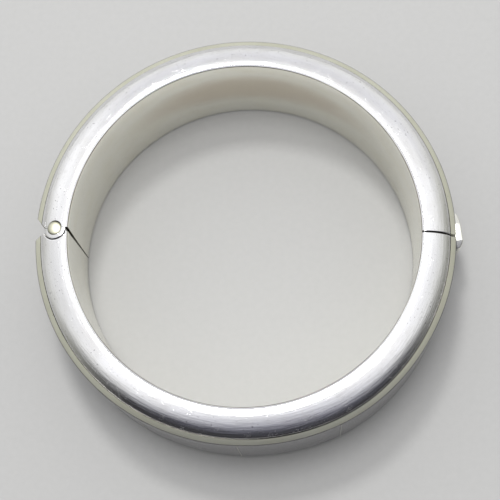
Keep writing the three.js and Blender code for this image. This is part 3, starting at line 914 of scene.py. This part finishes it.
# surroundings of a bench by a bright wall: light above and behind, dim on the near side
world = bpy.data.worlds.new("studio")
bpy.context.scene.world = world
world.use_nodes = True
WN, WL = world.node_tree.nodes, world.node_tree.links
WN.clear()
wout = WN.new("ShaderNodeOutputWorld")
wbg = WN.new("ShaderNodeBackground")
WL.new(wbg.outputs[0], wout.inputs[0])
wtc = WN.new("ShaderNodeTexCoord")
wsep = WN.new("ShaderNodeSeparateXYZ")
WL.new(wtc.outputs["Generated"], wsep.inputs[0])


def wmath(op, a, b=None):
    n = WN.new("ShaderNodeMath")
    n.operation = op
    for i, q in enumerate((a, b)):
        if q is None:
            continue
        if isinstance(q, (int, float)):
            n.inputs[i].default_value = q
        else:
            WL.new(q, n.inputs[i])
    return n.outputs[0]


def wsmooth(src, lo, hi):
    n = WN.new("ShaderNodeMapRange")
    n.interpolation_type = "SMOOTHSTEP"
    WL.new(src, n.inputs["Value"])
    n.inputs["From Min"].default_value = lo
    n.inputs["From Max"].default_value = hi
    return n.outputs[0]


def wramp(stops):
    """stops: elevation in degrees -> colour"""
    n = WN.new("ShaderNodeValToRGB")
    WL.new(elevation, n.inputs[0])
    el = n.color_ramp.elements
    el[0].position, el[0].color = stops[0][0] / 90.0, (*stops[0][1], 1)
    el[1].position, el[1].color = stops[-1][0] / 90.0, (*stops[-1][1], 1)
    for deg, c in stops[1:-1]:
        el.new(deg / 90.0).color = (*c, 1)
    return n.outputs[0]


def wmix(fac, a, b):
    n = WN.new("ShaderNodeMix")
    n.data_type = "RGBA"
    WL.new(fac, n.inputs["Factor"])
    WL.new(a, n.inputs["A"])
    WL.new(b, n.inputs["B"])
    return n.outputs["Result"]


def toward(az):
    """cosine of the horizontal angle from azimuth az"""
    c, s_ = math.cos(math.radians(az)), math.sin(math.radians(az))
    return wmath("DIVIDE", wmath("ADD", wmath("MULTIPLY", wsep.outputs[0], c), wmath("MULTIPLY", wsep.outputs[1], s_)), flat)


flat = wmath("MAXIMUM", wmath("SQRT", wmath("ADD", wmath("MULTIPLY", wsep.outputs[0], wsep.outputs[0]),
                                            wmath("MULTIPLY", wsep.outputs[1], wsep.outputs[1]))), 0.001)
elevation = wmath("MULTIPLY", wmath("ARCSINE", wsep.outputs[2]), 2.0 / math.pi)

side = wramp([(0, (.34, .34, .29)), (10, (.49, .49, .44)), (20, (.65, .65, .61)), (30, (.78, .78, .76)), (40, (.91, .91, .90)),
              (50, (1.00, 1.00, 1.01)), (62, (1.08, 1.08, 1.10)), (84, (1.15, 1.15, 1.16)), (90, (1.9, 1.9, 1.9))])
rear = wramp([(0, (.85, .85, .83)), (10, (.85, .85, .85)), (20, (.84, .84, .86)), (32, (.78, .78, .81)), (42, (.74, .74, .76)),
              (52, (.84, .84, .85)), (66, (1.15, 1.15, 1.15)), (84, (1.15, 1.15, 1.16)), (90, (1.9, 1.9, 1.9))])
near = wramp([(0, (.030, .028, .028)), (16, (.040, .039, .043)), (24, (.052, .052, .060)), (30, (.080, .080, .098)), (35, (.135, .135, .160)),
              (40, (.215, .215, .250)), (50, (.315, .315, .36)), (60, (.49, .49, .54)), (70, (.66, .66, .70)), (80, (.88, .88, .92)),
              (90, (1.9, 1.9, 1.9))])
light = wmix(wsmooth(toward(110), -0.10, 0.75), side, rear)
# a brighter patch of wall on the hinge side and a smaller one on the clasp side
glow = wmath("MULTIPLY", wsmooth(toward(147), 0.90, 0.99), wmath("MULTIPLY", wsmooth(elevation, 8 / 90.0, 28 / 90.0), wsmooth(elevation, 62 / 90.0, 40 / 90.0)))
light = wmix(wmath("MULTIPLY", glow, 0.75), light, wramp([(0, (1.18, 1.18, 1.17)), (45, (1.18, 1.18, 1.18)), (90, (1.18, 1.18, 1.18))]))
glow = wmath("MULTIPLY", wsmooth(toward(40), 0.90, 0.99), wmath("MULTIPLY", wsmooth(elevation, 30 / 90.0, 42 / 90.0), wsmooth(elevation, 62 / 90.0, 50 / 90.0)))
light = wmix(wmath("MULTIPLY", glow, 0.6), light, wramp([(0, (1.12, 1.12, 1.12)), (45, (1.12, 1.12, 1.12)), (90, (1.12, 1.12, 1.12))]))
# slightly greyer wall straight out from the hinge and from the clasp
grey = wramp([(0, (.40, .40, .37)), (10, (.58, .58, .55)), (20, (.71, .71, .69)), (40, (.76, .76, .76)), (60, (.86, .86, .87)), (78, (1.12, 1.12, 1.13)), (90, (1.9, 1.9, 1.9))])
light = wmix(wmath("MULTIPLY", wsmooth(toward(173), 0.92, 0.99), 0.75), light, grey)
grey = wramp([(0, (.26, .26, .23)), (10, (.34, .34, .31)), (20, (.55, .55, .52)), (30, (.72, .72, .70)), (42, (.78, .78, .78)), (55, (.87, .87, .88)),
              (78, (1.12, 1.12, 1.13)), (90, (1.9, 1.9, 1.9))])
light = wmix(wmath("MULTIPLY", wsmooth(toward(9), 0.94, 0.99), 0.8), light, grey)
# the dim zone is widest near the horizon
lift = wmath("MINIMUM", wmath("MAXIMUM", wmath("MULTIPLY", wmath("SUBTRACT", elevation, 20 / 90.0), 3.0), 0.0), 1.0)
zone = wmath("SUBTRACT", toward(-82), wmath("MULTIPLY", lift, 0.50))
light = wmix(wsmooth(zone, -0.20, 0.66), light, near)
WL.new(light, wbg.inputs["Color"])
wbg.inputs["Strength"].default_value = 1.0

# camera: the photograph's viewing angle
ELEV, AZIM, ROLL, DIST, F_PX = 74.32, 13.02, -11.55, 222.9, 1205.0
e, a, ro = (math.radians(q) for q in (ELEV, AZIM, ROLL))
back = np.array([math.sin(a) * math.cos(e), -math.cos(a) * math.cos(e), math.sin(e)])
right = np.cross(-back, [0, 0, 1])
right /= np.linalg.norm(right)
up = np.cross(right, -back)
r2 = math.cos(ro) * right + math.sin(ro) * up
u2 = -math.sin(ro) * right + math.cos(ro) * up
cd = bpy.data.cameras.new("camera")
cam = bpy.data.objects.new("camera", cd)
bpy.context.scene.collection.objects.link(cam)
cd.sensor_width = 36.0
cd.lens = F_PX / 500 * 36.0
cd.shift_x = 0.5 / 500
cd.shift_y = 11.4 / 500
cd.clip_start, cd.clip_end = 0.01, 20
loc = back * DIST * MM + np.array([CX * MM, 0, 0])
cam.matrix_world = Matrix(((r2[0], u2[0], back[0], loc[0]), (r2[1], u2[1], back[1], loc[1]), (r2[2], u2[2], back[2], loc[2]), (0, 0, 0, 1)))
scene = bpy.context.scene
scene.camera = cam
scene.view_settings.view_transform = "Standard"
scene.view_settings.look = "None"
scene.view_settings.exposure = 0.0
scene.view_settings.gamma = 1.0
